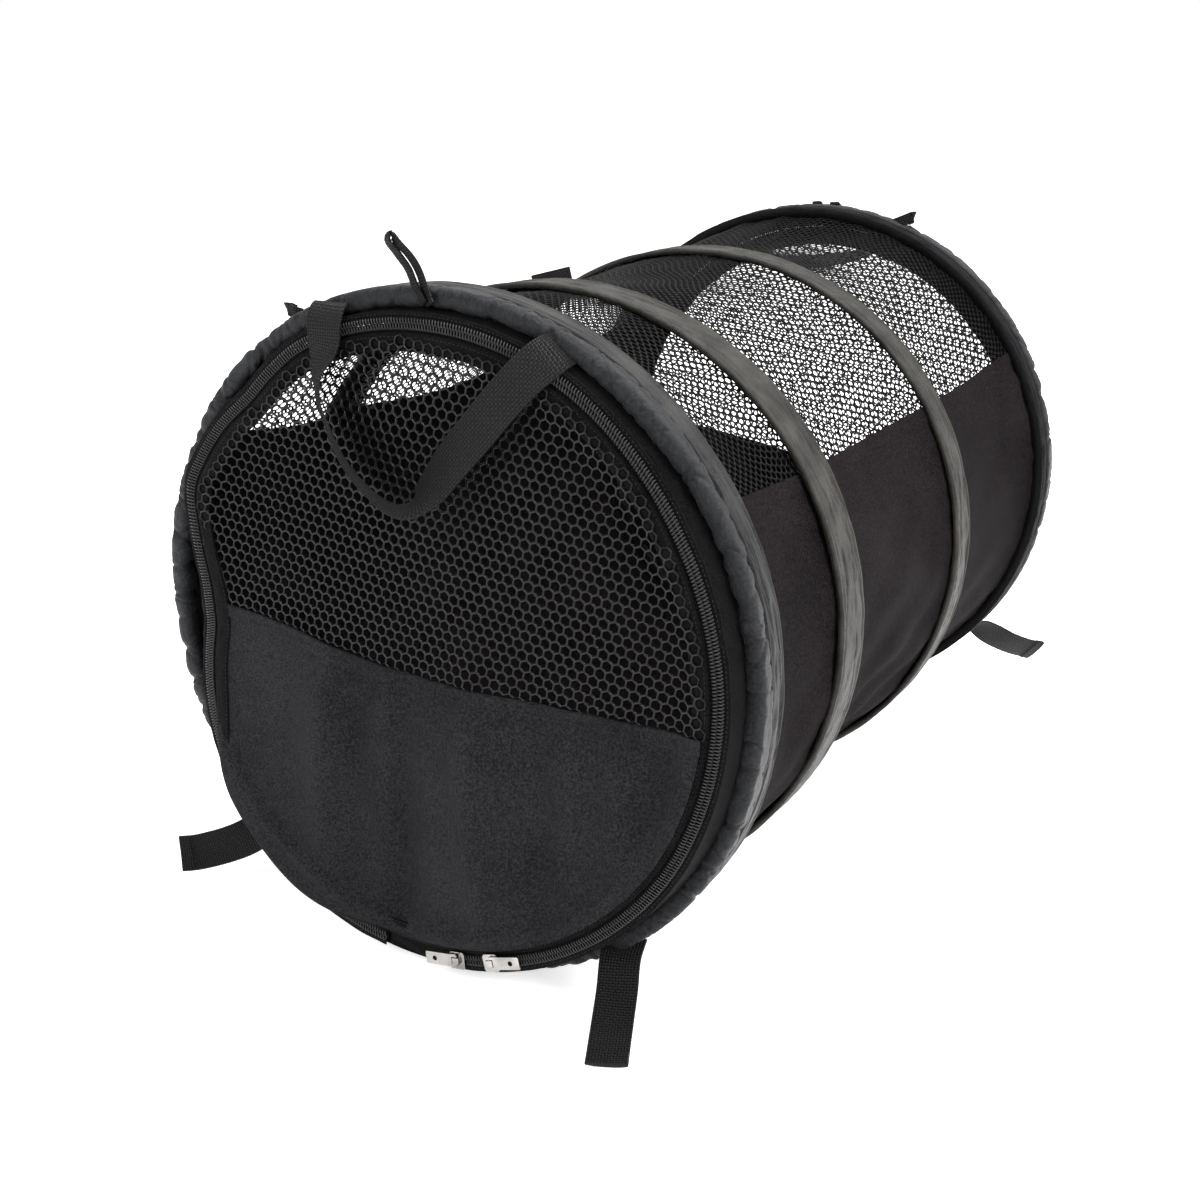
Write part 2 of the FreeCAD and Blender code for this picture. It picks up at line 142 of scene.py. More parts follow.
class Nodes:
    """A material's node tree, with short calls for the nodes used here."""

    def __init__(self, name):
        self.material = bpy.data.materials.new(name)
        self.material.use_nodes = True
        self.tree = self.material.node_tree
        self.shader = self.tree.nodes["Principled BSDF"]
        self.uv = self.tree.nodes.new("ShaderNodeUVMap").outputs[0]
        self.object = self.tree.nodes.new("ShaderNodeTexCoord").outputs["Object"]

    def link(self, out, socket):
        if isinstance(out, (int, float)):
            socket.default_value = out
        else:
            self.tree.links.new(out, socket)

    def math(self, operation, a, b=0.0, c=0.0):
        node = self.tree.nodes.new("ShaderNodeMath")
        node.operation = operation
        for value, socket in zip((a, b, c), node.inputs):
            self.link(value, socket)
        return node.outputs[0]

    def scaled(self, vector, scale, turn=0.0):
        node = self.tree.nodes.new("ShaderNodeMapping")
        node.inputs["Scale"].default_value = scale
        node.inputs["Rotation"].default_value = (0, 0, turn)
        self.tree.links.new(vector, node.inputs["Vector"])
        return node.outputs[0]

    def split(self, vector):
        node = self.tree.nodes.new("ShaderNodeSeparateXYZ")
        self.tree.links.new(vector, node.inputs[0])
        return node.outputs

    def noise(self, vector, scale, detail=3.0, roughness=0.5):
        node = self.tree.nodes.new("ShaderNodeTexNoise")
        node.inputs["Scale"].default_value = scale
        node.inputs["Detail"].default_value = detail
        node.inputs["Roughness"].default_value = roughness
        self.tree.links.new(vector, node.inputs["Vector"])
        return node.outputs["Fac"]

    def ramp(self, fac, low, high, stops=(0.3, 0.7)):
        node = self.tree.nodes.new("ShaderNodeValToRGB")
        node.color_ramp.elements[0].position, node.color_ramp.elements[1].position = stops
        node.color_ramp.elements[0].color = (*low, 1)
        node.color_ramp.elements[1].color = (*high, 1)
        self.tree.links.new(fac, node.inputs["Fac"])
        return node.outputs["Color"]

    def span(self, fac, low, high):
        node = self.tree.nodes.new("ShaderNodeMapRange")
        node.inputs["To Min"].default_value = low
        node.inputs["To Max"].default_value = high
        self.tree.links.new(fac, node.inputs["Value"])
        return node.outputs[0]

    def bump(self, height, distance, strength=1.0, under=None):
        node = self.tree.nodes.new("ShaderNodeBump")
        node.inputs["Distance"].default_value = distance
        node.inputs["Strength"].default_value = strength
        self.tree.links.new(height, node.inputs["Height"])
        if under is not None:
            self.tree.links.new(under, node.inputs["Normal"])
        return node.outputs[0]

    def threads(self, pitch_u, pitch_v):
        """Plain weave height from the piece's UV, in metres: warp and weft threads over and under."""
        u, v, _ = self.split(self.uv)
        warp = self.math("SINE", self.math("MULTIPLY", u, math.pi / pitch_u))
        weft = self.math("SINE", self.math("MULTIPLY", v, math.pi / pitch_v))
        over = self.math("MULTIPLY", warp, weft)
        rounded_u = self.math("ABSOLUTE", warp)
        rounded_v = self.math("ABSOLUTE", weft)
        ridge = self.math("MAXIMUM", self.math("MULTIPLY", rounded_u, self.math("ADD", over, 1.0)),
                          self.math("MULTIPLY", rounded_v, self.math("SUBTRACT", 1.0, over)))
        return self.math("MULTIPLY", ridge, 0.5)


def cloth(name, low, high, pitch, bump, roughness, sheen, specular, wrinkle=0.0, wrinkle_scale=60.0,
          painted_sheen_mix=0.0):
    """A woven cloth: thread relief with painted shade between the threads, slow colour variation, painted
    sheen streaks where asked, fine wrinkles and a soft sheen.
    """
    n = Nodes(name)
    slow = n.noise(n.object, 14.0, 4.0)
    grain = n.noise(n.object, 750.0, 1.0)
    mixed = n.math("ADD", n.math("MULTIPLY", slow, 0.3), n.math("MULTIPLY", grain, 0.7))
    weave = n.threads(pitch, pitch)
    # painted shade: the weave's height also tints the colour, darker between the threads and lighter on
    # their crowns
    tone_and_painted_light = n.math("ADD", n.math("MULTIPLY", mixed, 0.8), n.math("MULTIPLY", weave, 0.2))
    # painted sheen: lighter blotches in the colour stand in for the satin's glints along its folds
    painted_sheen_blotch = n.noise(n.object, 42.0, 3.0, 0.6)
    tone_and_painted_light = n.math("ADD", n.math("MULTIPLY", tone_and_painted_light, 1 - painted_sheen_mix), n.math("MULTIPLY", painted_sheen_blotch, painted_sheen_mix))
    n.link(n.ramp(tone_and_painted_light, low, high, (0.39, 0.63)), n.shader.inputs["Base Color"])
    n.link(n.span(slow, roughness - 0.08, roughness + 0.08), n.shader.inputs["Roughness"])
    normal = n.bump(weave, pitch * bump)
    normal = n.bump(grain, 0.25 * MM, 0.7, normal)
    if wrinkle:
        normal = n.bump(n.noise(n.object, wrinkle_scale, 3.0, 0.6), wrinkle, 1.0, normal)
    n.link(normal, n.shader.inputs["Normal"])
    n.shader.inputs["Sheen Weight"].default_value = sheen
    n.shader.inputs["Sheen Roughness"].default_value = 0.4
    n.shader.inputs["Specular IOR Level"].default_value = specular
    return n.material


def plain(name, colour, roughness, metallic, bump_scale, bump, variation, specular=0.5):
    """Plastic or metal with a fine surface and a little variation."""
    n = Nodes(name)
    slow = n.noise(n.object, 60.0, 4.0)
    dark = tuple(c * (1 - variation) for c in colour)
    n.link(n.ramp(slow, dark, colour), n.shader.inputs["Base Color"])
    n.link(n.span(slow, roughness * 0.8, min(1.0, roughness * 1.25)), n.shader.inputs["Roughness"])
    n.link(n.bump(n.noise(n.object, bump_scale, 3.0), bump), n.shader.inputs["Normal"])
    n.shader.inputs["Metallic"].default_value = metallic
    n.shader.inputs["Specular IOR Level"].default_value = specular
    return n.material


def webbing_material(name):
    """Basket-weave webbing: pairs of threads over and under, with ribs along its edges; its colour carries
    painted shade between the threads.
    """
    n = Nodes(name)
    weave = n.threads(1.8 * MM, 1.8 * MM)
    fine = n.noise(n.scaled(n.uv, (2600, 500, 1)), 1.0, 2.0)
    slow = n.noise(n.object, 30.0, 3.0)
    height = n.math("ADD", n.math("MULTIPLY", weave, 0.8), n.math("MULTIPLY", fine, 0.2))
    # painted shade: the weave's height sets most of the colour, dark between the threads and light on their
    # crowns; slow adds random tone
    tone_and_painted_light = n.math("ADD", n.math("MULTIPLY", weave, 0.75), n.math("MULTIPLY", slow, 0.3))
    colour = n.ramp(tone_and_painted_light, (0.0004, 0.0004, 0.0005), (0.0125, 0.0125, 0.0130), (0.3, 1.0))
    n.link(colour, n.shader.inputs["Base Color"])
    n.link(n.span(slow, 0.45, 0.6), n.shader.inputs["Roughness"])
    n.link(n.bump(height, 1.3 * MM), n.shader.inputs["Normal"])
    n.shader.inputs["Specular IOR Level"].default_value = 0.12
    return n.material


MATERIALS = {}


def make_materials():
    MATERIALS.update(
        oxford=cloth("black_oxford", (0.0012, 0.0012, 0.0014), (0.0062, 0.0060, 0.0066), 0.55 * MM, 0.5,
                     0.55, 0.01, 0.03, 0.7 * MM, 24.0),
        body=cloth("brown_black_oxford", (0.0022, 0.0017, 0.0018), (0.0150, 0.0124, 0.0132), 0.6 * MM, 0.8,
                   0.66, 0.0, 0.012, 1.2 * MM, 22.0),
        panel=cloth("black_oxford_panel", (0.0032, 0.0032, 0.0037), (0.0240, 0.0240, 0.0272), 0.6 * MM, 0.8,
                    0.52, 0.01, 0.04, 1.6 * MM, 16.0),
        roll=cloth("gathered_nylon", (0.0040, 0.0042, 0.0050), (0.0150, 0.0156, 0.0178), 0.4 * MM, 0.3,
                   0.42, 0.02, 0.12, 1.8 * MM, 70.0),
        # the grey tapes' last number mixes painted sheen streaks into their colour
        grey=cloth("grey_satin_tape", (0.0060, 0.0057, 0.0050), (0.0290, 0.0272, 0.0242), 0.45 * MM, 0.3,
                   0.46, 0.02, 0.10, 1.8 * MM, 45.0, 0.6),
        rim_grey=cloth("dark_grey_tape", (0.0050, 0.0051, 0.0051), (0.0190, 0.0188, 0.0180), 0.45 * MM, 0.3,
                       0.48, 0.02, 0.14, 1.2 * MM, 60.0, 0.6),
        tape=cloth("zip_tape", (0.0015, 0.0015, 0.0017), (0.0070, 0.0070, 0.0075), 0.7 * MM, 0.8, 0.55, 0.01,
                   0.03),
        bay_net=plain("black_bay_net", (0.0014, 0.0014, 0.0015), 0.45, 0.0, 900.0, 0.15 * MM, 0.35, 0.06),
        net=plain("black_net", (0.0024, 0.0024, 0.0026), 0.28, 0.0, 900.0, 0.15 * MM, 0.35, 0.24),
        coil=plain("zip_coil", (0.012, 0.012, 0.0125), 0.34, 0.0, 700.0, 0.03 * MM, 0.3, 0.40),
        thread=plain("stitching", (0.012, 0.012, 0.012), 0.5, 0.0, 1200.0, 0.05 * MM, 0.3, 0.2),
        webbing=webbing_material("black_webbing"),
        steel=plain("drawn_steel", (0.40, 0.40, 0.41), 0.35, 1.0, 500.0, 0.02 * MM, 0.2),
        nickel=plain("nickel", (0.40, 0.385, 0.37), 0.20, 1.0, 220.0, 0.5 * MM, 0.6),
    )


# ---------------------------------------------------------------- mesh helpers

def signed_volume(points, faces):
    total = 0.0
    for block in faces:
        a = points[block[:, 0]]
        for k in range(1, block.shape[1] - 1):
            total += np.einsum("ij,ij->", a, np.cross(points[block[:, k]], points[block[:, k + 1]]))
    return total


def surface_area(points, faces):
    total = 0.0
    for block in faces:
        a, c = points[block[:, 0]], points[block[:, 2]]
        b, d = points[block[:, 1]], points[block[:, -1]]
        total += np.linalg.norm(np.cross(c - a, d - b), axis=1).sum() / 2
    return float(total)


def make_piece(name, points, faces, material, body, replaces=(), uv=None):
    """A mesh object from arrays: faces is a list of arrays of quads or triangles, uv one pair per point."""
    middle = points.mean(0)
    if signed_volume(points - middle, faces) < 0:
        faces = [block[:, ::-1] for block in faces]
    loops = np.concatenate([block.ravel() for block in faces]).astype(np.int32)
    sizes = np.concatenate([np.full(len(block), block.shape[1]) for block in faces])
    starts = np.concatenate([[0], np.cumsum(sizes)[:-1]]).astype(np.int32)
    mesh = bpy.data.meshes.new(name)
    mesh.vertices.add(len(points))
    mesh.vertices.foreach_set("co", np.ascontiguousarray(points, np.float32).ravel())
    mesh.loops.add(len(loops))
    mesh.loops.foreach_set("vertex_index", loops)
    mesh.polygons.add(len(sizes))
    mesh.polygons.foreach_set("loop_start", starts)
    mesh.update(calc_edges=True)
    layer = mesh.uv_layers.new(name="UVMap")
    if uv is not None:
        layer.data.foreach_set("uv", np.ascontiguousarray(uv[loops], np.float32).ravel())
    mesh.polygons.foreach_set("use_smooth", np.full(len(sizes), True))
    mesh.materials.append(MATERIALS[material])
    mesh.validate()
    piece = bpy.data.objects.new(name, mesh)
    bpy.context.collection.objects.link(piece)
    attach(piece, body)
    if replaces:
        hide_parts(*replaces)
    return piece


def grid_faces(rows, columns, wrap_rows=False, wrap_columns=False):
    """Quads of a grid of points laid out row by row."""
    r = np.arange(rows if wrap_rows else rows - 1)
    c = np.arange(columns if wrap_columns else columns - 1)
    r, c = (a.ravel() for a in np.meshgrid(r, c, indexing="ij"))
    down, along = (r + 1) % rows, (c + 1) % columns
    return np.stack([r * columns + c, down * columns + c, down * columns + along, r * columns + along], 1)


def grid_normals(p, wrap_columns):
    down = np.gradient(p, axis=0)
    along = np.roll(p, -1, 1) - np.roll(p, 1, 1) if wrap_columns else np.gradient(p, axis=1)
    n = np.cross(down, along)
    return n / np.maximum(np.linalg.norm(n, axis=2, keepdims=True), 1e-12)


def sheet_mesh(p, thickness, wrap_columns=False):
    """Points and faces of a closed sheet whose middle surface is the grid p; thickness may vary over it."""
    rows, columns = p.shape[:2]
    half = np.broadcast_to(thickness, (rows, columns)) / 2
    n = grid_normals(p, wrap_columns) * half[..., None]
    count = rows * columns
    points = np.concatenate([(p + n).reshape(-1, 3), (p - n).reshape(-1, 3)])
    front = grid_faces(rows, columns, False, wrap_columns)
    faces = [front, front[:, ::-1] + count]
    index = np.arange(count).reshape(rows, columns)
    if wrap_columns:
        borders = [index[-1], index[0, ::-1]]
    else:
        borders = [np.concatenate([index[:-1, 0], index[-1, :-1], index[:0:-1, -1], index[0, :0:-1]])]
    for border in borders:
        then = np.roll(border, -1)
        faces.append(np.stack([then, border, border + count, then + count], 1))
    return points, faces


def both_sides(uv):
    flat = np.asarray(uv).reshape(-1, 2)
    return np.concatenate([flat, flat])


def ring_mesh(p):
    """Points and faces of a closed ring: p runs round the hoop by rows and round the section by columns."""
    return p.reshape(-1, 3), [grid_faces(p.shape[0], p.shape[1], True, True)]


def tube_mesh(p):
    """Points and faces of a tube with capped ends: p is rows along it, columns round its section."""
    rows, columns = p.shape[:2]
    points = np.concatenate([p.reshape(-1, 3), [p[0].mean(0)], [p[-1].mean(0)]])
    around_start = np.arange(columns)
    around_end = around_start + (rows - 1) * columns
    first, last = rows * columns, rows * columns + 1
    cap_start = np.stack([np.full(columns, first), np.roll(around_start, -1), around_start][::-1], 1)
    cap_end = np.stack([np.full(columns, last), around_end, np.roll(around_end, -1)][::-1], 1)
    return points, [grid_faces(rows, columns, False, True), cap_start, cap_end]


def waves(seed, count, turns_u, turns_v):
    """A smooth random height over (u, v), about 1 high: waves with whole turns in u."""
    rng = np.random.default_rng(seed)
    ku = rng.integers(turns_u[0], turns_u[1] + 1, count) * rng.choice([-1, 1], count)
    kv = rng.uniform(turns_v[0], turns_v[1], count)
    phase = rng.uniform(0, 2 * math.pi, count)
    size = rng.uniform(0.4, 1.0, count)
    size /= np.sqrt((size**2).sum() / 2)

    def height(u, v):
        total = np.zeros(np.broadcast(u, v).shape)
        for a, k, m, f in zip(size, ku, kv, phase):
            total = total + a * np.sin(2 * math.pi * (k * u + m * v) + f)
        return total
    return height


def creases(seed, spacing, length, width):
    """Pinched creases at uneven places along a closed length: a height from 0 down to about -1."""
    rng = np.random.default_rng(seed)
    count = int(length / spacing)
    places = (np.arange(count) + rng.uniform(-0.36, 0.36, count)) / count
    depths = rng.uniform(0.25, 1.0, count)
    widths = width * rng.uniform(0.5, 1.5, count) / length
    leans = rng.uniform(-0.6, 0.6, count) * spacing / length

    def height(u, lean):
        total = np.zeros(np.broadcast(u, lean).shape)
        for place, deep, wide, slant in zip(places, depths, widths, leans):
            away = (u - place - slant * lean + 0.5) % 1 - 0.5
            total = total - deep * np.exp(-np.abs(away / wide) ** 1.4)
        return total
    return height


def smooth_path(points, count):
    """A smooth curve through the points, evenly spread: points may carry more than three columns."""
    points = np.asarray(points, float)
    steps = np.linalg.norm(np.diff(points[:, :3], axis=0), axis=1)
    knots = np.concatenate([[0], np.cumsum(steps)])
    padded = np.vstack([2 * points[0] - points[1], points, 2 * points[-1] - points[-2]])
    at = np.concatenate([[2 * knots[0] - knots[1]], knots, [2 * knots[-1] - knots[-2]]])
    where = np.linspace(0, knots[-1], count)
    k = np.clip(np.searchsorted(knots, where, "right"), 1, len(knots) - 1)
    out = []
    for t, i in zip(where, k):
        p0, p1, p2, p3 = padded[i - 1:i + 3]
        t0, t1, t2, t3 = at[i - 1:i + 3]
        m1 = ((p2 - p1) / (t2 - t1) - (p2 - p0) / (t2 - t0) + (p1 - p0) / (t1 - t0)) * (t2 - t1)
        m2 = ((p3 - p2) / (t3 - t2) - (p3 - p1) / (t3 - t1) + (p2 - p1) / (t2 - t1)) * (t2 - t1)
        s = (t - t1) / (t2 - t1)
        out.append((2 * s**3 - 3 * s**2 + 1) * p1 + (s**3 - 2 * s**2 + s) * m1
                   + (3 * s**2 - 2 * s**3) * p2 + (s**3 - s**2) * m2)
    return np.array(out)


def unit(v):
    return v / np.maximum(np.linalg.norm(v, axis=-1, keepdims=True), 1e-12)


def ribbon(name, stations, width, thickness, body, replaces=(), hem=(0, 0), curl=0.0):
    """A strip of webbing through stations of (x, y, z, width direction x, y, z), with hemmed ends."""
    length = np.linalg.norm(np.diff(np.asarray(stations)[:, :3], axis=0), axis=1).sum()
    count = max(24, int(length / (1.5 * MM)))
    path = smooth_path(stations, count)
    centre, side = path[:, :3], path[:, 3:]
    along = unit(np.gradient(centre, axis=0))
    side = unit(side - along * (side * along).sum(1, keepdims=True))
    out = np.cross(along, side)
    across = np.array([-1, -0.97, -0.85, -0.6, -0.3, 0, 0.3, 0.6, 0.85, 0.97, 1]) / 2
    p = centre[:, None] + side[:, None] * (across * width)[None, :, None]
    p = p + out[:, None] * (curl * (4 * across**2))[None, :, None]
    run = np.concatenate([[0], np.cumsum(np.linalg.norm(np.diff(centre, axis=0), axis=1))])
    double = 1 + np.clip((hem[0] - run) / MM, 0, 1) + np.clip((run - run[-1] + hem[1]) / MM, 0, 1)
    edge = np.where(np.abs(across) > 0.49, 0.35, np.where(np.abs(across) > 0.42, 0.85, 1.0))
    ribs = 1 + 0.06 * np.sin(2 * math.pi * run / (2.6 * MM))
    points, faces = sheet_mesh(p, thickness * double[:, None] * edge * ribs[:, None])
    uv = np.stack(np.broadcast_arrays(across * width, run[:, None]), -1)
    make_piece(name, points, faces, "webbing", body, replaces, both_sides(uv))


def stitches(name, lines, body, pitch):
    """Rows of stitches as small lens-shaped solids. Each line is (points, normals)."""
    long, wide, high = 1.0 * MM, 0.28 * MM, 0.22 * MM
    tips = []
    for line, normal in lines:
        run = np.concatenate([[0], np.cumsum(np.linalg.norm(np.diff(line, axis=0), axis=1))])
        at = np.arange(pitch, run[-1] - pitch / 2, pitch)
        centre = np.stack([np.interp(at, run, line[:, k]) for k in range(3)], 1)
        ahead = np.stack([np.interp(at + 0.2 * MM, run, line[:, k]) for k in range(3)], 1)
        up = unit(np.stack([np.interp(at, run, normal[:, k]) for k in range(3)], 1))
        along = unit(ahead - centre)
        side = np.cross(along, up)
        tips.append(np.stack([centre - along * long, centre + side * wide, centre + along * long,
                              centre - side * wide, centre + up * high, centre - up * high], 1))
    tips = np.concatenate(tips)
    points = tips.reshape(-1, 3)
    base = np.arange(len(tips))[:, None, None] * 6
    lens = np.array([[0, 1, 4], [1, 2, 4], [2, 3, 4], [3, 0, 4],
                     [1, 0, 5], [2, 1, 5], [3, 2, 5], [0, 3, 5]])
    faces = [(base + lens[None]).reshape(-1, 3)]
    make_piece(name, points, faces, "thread", body)


# ---------------------------------------------------------------- the tube's shape

FOOT_CORNER = 60 * MM
SLUMP, REST_Y = 10 * MM, 262 * MM


def hoop_radius(phi, radius, inset):
    """Distance from a hoop's centre at an angle from the top: a circle with a short flat foot."""
    rise = RING_Z - FOOT_CORNER
    reach = math.sqrt((radius - FOOT_CORNER) ** 2 - rise**2)
    phi = np.abs((np.asarray(phi) + math.pi) % (2 * math.pi) - math.pi)
    side_angle = math.pi / 2 + math.atan2(rise, reach)
    foot_angle = math.pi - np.arctan2(reach, RING_Z - inset)
    big = radius - inset
    small = FOOT_CORNER - inset
    far = math.hypot(reach, rise)
    away = phi - side_angle
    corner = far * np.cos(away) + np.sqrt(np.maximum(small**2 - (far * np.sin(away)) ** 2, 0))
    flat = (RING_Z - inset) / np.maximum(-np.cos(phi), 0.3)
    return np.where(phi < side_angle, big, np.where(phi < foot_angle, corner, flat))


def slump(phi, y):
    """How far the tube's top sinks between the rims, under the cloth's weight."""
    reach = np.clip((REST_Y - np.abs(y)) / (REST_Y - 150 * MM), 0, 1)
    return SLUMP * reach * ((1 + np.cos(phi)) / 2) ** 1.5


def around(phi, radius, inset, y):
    """Points of a hoop at an inset from its outline."""
    r = hoop_radius(phi, radius, inset)
    z = RING_Z + r * np.cos(phi) - slump(phi, y)
    return np.stack(np.broadcast_arrays(r * np.sin(phi), y, z), -1)


def wobble(end, phi):
    """How far the zip strays from its circle; the front one is pulled in at the left."""
    if end == REAR:
        return 2.0 * MM * np.sin(3 * phi + 1.0) * (1 + np.cos(phi)) / 2
    angles = np.radians([-180, -150, -128, -108, -93, -84, -75, -66, -52, -43, -28, 0, 60, 90, 120, 180])
    pulled = np.array([0, 0, -5, -18, -30, -26, -13, 2, 0, -4, 2, 0, -2, 1, 2, 0]) * MM
    fine = np.linspace(-math.pi, math.pi, 721)
    rough = np.interp(fine, angles, pulled)
    kernel = np.hanning(21)
    smooth = np.convolve(np.pad(rough, 10, "wrap"), kernel / kernel.sum(), "valid")
    return np.interp((phi + math.pi) % (2 * math.pi) - math.pi, fine, smooth)


def overhang(end, phi):
    """Where the front door's edge has rolled out over the zip, at the lower left: 0 to 1."""
    if end == REAR:
        return 0 * phi
    away = (phi - math.radians(-141) + math.pi) % (2 * math.pi) - math.pi
    return np.exp(-(away / math.radians(24)) ** 4)


def zip_radius(end, phi):
    return ZIP_R + wobble(end, phi)


def on_door(end, x, z, out=0.0):
    """Points of the door's flat layout put in place: x and z from the zip's centre, out to the outside."""
    c, s = math.cos(DOOR_TILT), math.sin(DOOR_TILT)
    front_y = -DOOR_Y - out * c + z * s
    return np.stack(np.broadcast_arrays(x, -end * front_y, RING_Z + out * s + z * c), -1)


def at_zip(end, phi, away, out=0.0):
    """Points at a distance from the zip's line: away is outwards from the door's middle."""
    r = zip_radius(end, phi) + away
    return on_door(end, r * np.sin(phi), r * np.cos(phi), out)


def seam_z(x):
    """Height of the seam between the door's net and its cloth, from the zip's centre."""
    return (-3.6 - 11.3 * np.tanh((x / MM + 80) / 60)) * MM


# the door's folds: middle, lean, half width and height in mm
DOOR_FOLDS = ((34 * MM, 0.05, 12, 9.0), (-62 * MM, -0.12, 17, 6.5), (128 * MM, 0.10, 12, 6.5),
              (84 * MM, 0.02, 10, -4.0), (-8 * MM, -0.05, 10, -5.0))


def door_out(end, x, z):
    """How far the door's net and cloth stand out of the door's plane."""
    r = np.hypot(x, z) / (ZIP_R - 8 * MM)
    dome = np.clip(1 - r**2, 0, 1)
    low = 1 / (1 + np.exp((z + 30 * MM) / (16 * MM)))
    broad = waves(40 + end, 5, (1, 3), (-0.7, 0.7))(x / (2 * ZIP_R), z / (2 * ZIP_R))
    tension = waves(50 + end, 6, (4, 9), (-1.5, 1.5))(x / (2 * ZIP_R), z / (2 * ZIP_R))
    crease = sum(depth * np.exp(-(((x - middle) / MM + lean * z / MM) / wide) ** 2)
                 for middle, lean, wide, depth in DOOR_FOLDS) * MM
    cloth_part = low * (6 * MM * dome + (4.2 * MM * broad + 1.8 * MM * tension + crease) * np.sqrt(dome))
    return cloth_part + (1 - low) * (2 * MM * dome + 0.8 * MM * broad * dome)


# ---------------------------------------------------------------- net

def net_mesh(pitch, strand, thick, turn, bounds, inside, place):
    """A net of six-sided holes: the mesh of its strands, each with a diamond section.

    bounds is the flat area (u0, v0, u1, v1), inside(u, v) says which cells are kept, and
    place(u, v) gives points and normals. Neighbouring cells share the lattice between them.
    """
    u0, v0, u1, v1 = bounds
    reach = math.hypot(u1 - u0, v1 - v0) / 2 + pitch
    n = int(reach / pitch) + 2
    i, j = (a.ravel() for a in np.meshgrid(np.arange(-n, n + 1), np.arange(-2 * n, 2 * n + 1)))
    cu = (i + 0.5 * (j % 2)) * pitch
    cv = j * pitch * math.sqrt(0.75)
    c, s = math.cos(turn), math.sin(turn)
    mu, mv = (u0 + u1) / 2, (v0 + v1) / 2
    u, v = mu + cu * c - cv * s, mv + cu * s + cv * c
    keep = (u > u0 - pitch) & (u < u1 + pitch) & (v > v0 - pitch) & (v < v1 + pitch)
    u, v = u[keep], v[keep]
    keep = inside(u, v)
    u, v = u[keep], v[keep]
    corner = turn + np.radians(90 + 60 * np.arange(6))
    hub = pitch / math.sqrt(3)
    lu = u[:, None] + hub * np.cos(corner)
    lv = v[:, None] + hub * np.sin(corner)
    key = np.round(np.stack([lu.ravel(), lv.ravel()], 1) / (0.02 * pitch)).astype(np.int64)
    _, first, index = np.unique(key, axis=0, return_index=True, return_inverse=True)
    index = index.reshape(-1, 6)
    lattice = np.stack([lu.ravel()[first], lv.ravel()[first]], 1)
    shrink = 1 - strand / pitch
    hu, hv = u[:, None] + (lu - u[:, None]) * shrink, v[:, None] + (lv - v[:, None]) * shrink
    ll, nl = place(lattice[:, 0], lattice[:, 1])
    hh, _ = place(hu.ravel(), hv.ravel())
    m = len(lattice)
    points = np.concatenate([ll + nl * thick / 2, ll - nl * thick / 2, hh])
    uv = np.concatenate([lattice, lattice, np.stack([hu.ravel(), hv.ravel()], 1)])
    a, b = index, np.roll(index, -1, 1)
    h = 2 * m + np.arange(len(u) * 6).reshape(-1, 6)
    k = np.roll(h, -1, 1)
    top = np.stack([a, b, k, h], -1).reshape(-1, 4)
    under = np.stack([b + m, a + m, h, k], -1).reshape(-1, 4)
    pairs = np.stack([a.ravel(), b.ravel()], 1)
    whole = {tuple(pair) for pair in pairs.tolist()}
    rim = np.array([pair for pair in pairs.tolist() if (pair[1], pair[0]) not in whole])
    wall = np.stack([rim[:, 1], rim[:, 0], rim[:, 0] + m, rim[:, 1] + m], 1)
    faces = [top, under, wall]
    return points, faces, uv, surface_area(points, faces) / 2


# ---------------------------------------------------------------- pieces of one end

def rim_roll(end):
    """Gathered nylon roll along the rim's outer edge."""
    phi = np.linspace(0, 2 * math.pi, 1500, endpoint=False)[:, None]
    section = np.linspace(0, 2 * math.pi, 26, endpoint=False)[None]
    u = phi / (2 * math.pi)
    length = 2 * math.pi * RIM_R
    puffs = creases(11 + end, 19 * MM, length, 2.4 * MM)(u, np.sin(section))
    nicks = creases(15 + end, 9 * MM, length, 1.2 * MM)(u, 2 * np.sin(section + 1))
    fine = waves(21 + end, 10, (40, 120), (-1, 1))(u, section / 6.28)
    slow = waves(31 + end, 5, (3, 14), (0, 0))(u, 0)
    lobe = 1 + 0.30 * puffs + 0.12 * nicks + 0.035 * fine + 0.08 * slow
    deep, power = 6.8 * MM, 0.8
    inset = 6.3 * MM - deep * lobe * np.sign(np.cos(section)) * np.abs(np.cos(section)) ** power
    inset = np.maximum(inset, 0.2 * MM)
    outward = deep * lobe * np.sign(np.sin(section)) * np.abs(np.sin(section)) ** power
    y = end * (288.3 * MM + outward)
    points, faces = ring_mesh(around(phi, RIM_R, inset, y))
    uv = np.stack(np.broadcast_arrays(phi * RIM_R, section * deep), -1).reshape(-1, 2)
    name = ENDS[end]
    piece = make_piece(f"{name}_gathered_roll", points, faces, "roll", f"{name}_frame",
                       (f"{name}_rim_roll",), uv)


